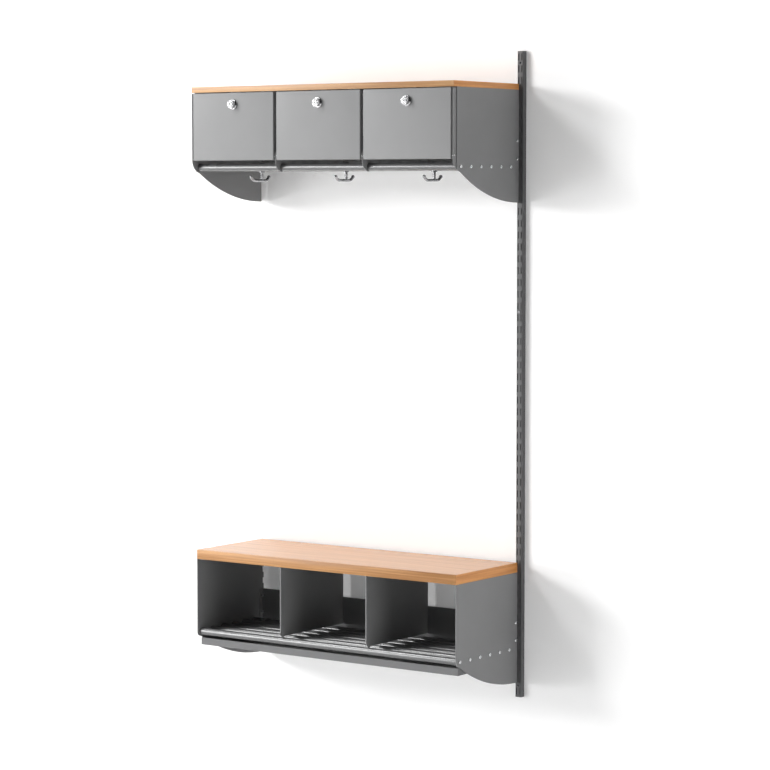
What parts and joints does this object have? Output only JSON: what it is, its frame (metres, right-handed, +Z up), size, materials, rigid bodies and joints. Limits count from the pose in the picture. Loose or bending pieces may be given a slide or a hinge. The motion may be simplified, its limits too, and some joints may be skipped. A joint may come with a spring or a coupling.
{
  "type": "mudroom locker unit",
  "caption": "Wall-hung mudroom section: slotted upright, row of drop-front lockers with cam locks and coat hooks, and a laminate bench over tube shoe bays with a slide-out drip tray.",
  "frame": {"origin": "on the wall plane, at the middle of the upright's lower end", "axes": "+X to the right along the wall, +Y into the wall, +Z up; the fronts face -Y"},
  "size_m": [0.9025, 0.3435, 1.76],
  "materials": {
    "powder_coat": "satin",
    "laminate": "satin",
    "chrome": "polished",
    "zinc": "zinc plated"
  },
  "bodies": {
    "frame": {"bench_back_panel": "powder_coat", "bench_board": "laminate", "bench_board_screws": "zinc", "bench_bracket_left": "powder_coat", "bench_bracket_right": "powder_coat", "bench_bracket_screws": "zinc", "bench_divider_left": "powder_coat", "bench_divider_right": "powder_coat", "bench_tube_1": "powder_coat", "bench_tube_2": "powder_coat", "bench_tube_3": "powder_coat", "bench_tube_4": "powder_coat", "bench_tube_5": "powder_coat", "bench_tube_6": "powder_coat", "coat_hook_centre": "chrome", "coat_hook_left": "chrome", "coat_hook_right": "chrome", "door_pivot_pins": "zinc", "door_stop_studs": "zinc", "hook_bolts": "zinc", "lock_strike_centre": "zinc", "lock_strike_left": "zinc", "lock_strike_right": "zinc", "locker_back_panel": "powder_coat", "locker_board": "laminate", "locker_board_screws": "zinc", "locker_bracket_left": "powder_coat", "locker_bracket_right": "powder_coat", "locker_bracket_screws": "zinc", "locker_cheek_left": "powder_coat", "locker_cheek_right": "powder_coat", "locker_partition_left": "powder_coat", "locker_partition_right": "powder_coat", "locker_tube_1": "powder_coat", "locker_tube_2": "powder_coat", "locker_tube_3": "powder_coat", "locker_tube_4": "powder_coat", "locker_tube_5": "powder_coat", "locker_tube_6": "powder_coat", "tray_runner_left": "powder_coat", "tray_runner_right": "powder_coat", "wall_screw": "zinc", "wall_upright": "powder_coat"},
    "door_left": {"locker_door_left": "powder_coat", "lock_housing_left": "chrome", "lock_nut_left": "zinc"},
    "door_centre": {"locker_door_centre": "powder_coat", "lock_housing_centre": "chrome", "lock_nut_centre": "zinc"},
    "door_right": {"locker_door_right": "powder_coat", "lock_housing_right": "chrome", "lock_nut_right": "zinc"},
    "lock_left": {"lock_plug_left": "chrome", "lock_cam_left": "zinc"},
    "lock_centre": {"lock_plug_centre": "chrome", "lock_cam_centre": "zinc"},
    "lock_right": {"lock_plug_right": "chrome", "lock_cam_right": "zinc"},
    "tray": {"drip_tray": "powder_coat"}
  },
  "joints": [
    {"name": "door_left_drop", "type": "hinge", "parent": "frame", "child": "door_left", "pos_m": [-0.7405, -0.323, 1.477], "axis": [1, 0, 0], "range_deg": [0, 90]},
    {"name": "lock_left_turn", "type": "hinge", "parent": "door_left", "child": "lock_left", "pos_m": [-0.7405, -0.331, 1.6217], "axis": [0, -1, 0], "range_deg": [0, 90]},
    {"name": "door_centre_drop", "type": "hinge", "parent": "frame", "child": "door_centre", "pos_m": [-0.447, -0.323, 1.477], "axis": [1, 0, 0], "range_deg": [0, 90]},
    {"name": "lock_centre_turn", "type": "hinge", "parent": "door_centre", "child": "lock_centre", "pos_m": [-0.447, -0.331, 1.6217], "axis": [0, -1, 0], "range_deg": [0, 90]},
    {"name": "door_right_drop", "type": "hinge", "parent": "frame", "child": "door_right", "pos_m": [-0.1535, -0.323, 1.477], "axis": [1, 0, 0], "range_deg": [0, 90]},
    {"name": "lock_right_turn", "type": "hinge", "parent": "door_right", "child": "lock_right", "pos_m": [-0.1535, -0.331, 1.6217], "axis": [0, -1, 0], "range_deg": [0, 90]},
    {"name": "tray_slide", "type": "slide", "parent": "frame", "child": "tray", "axis": [0, -1, 0], "range_m": [0, 0.15]}
  ]
}
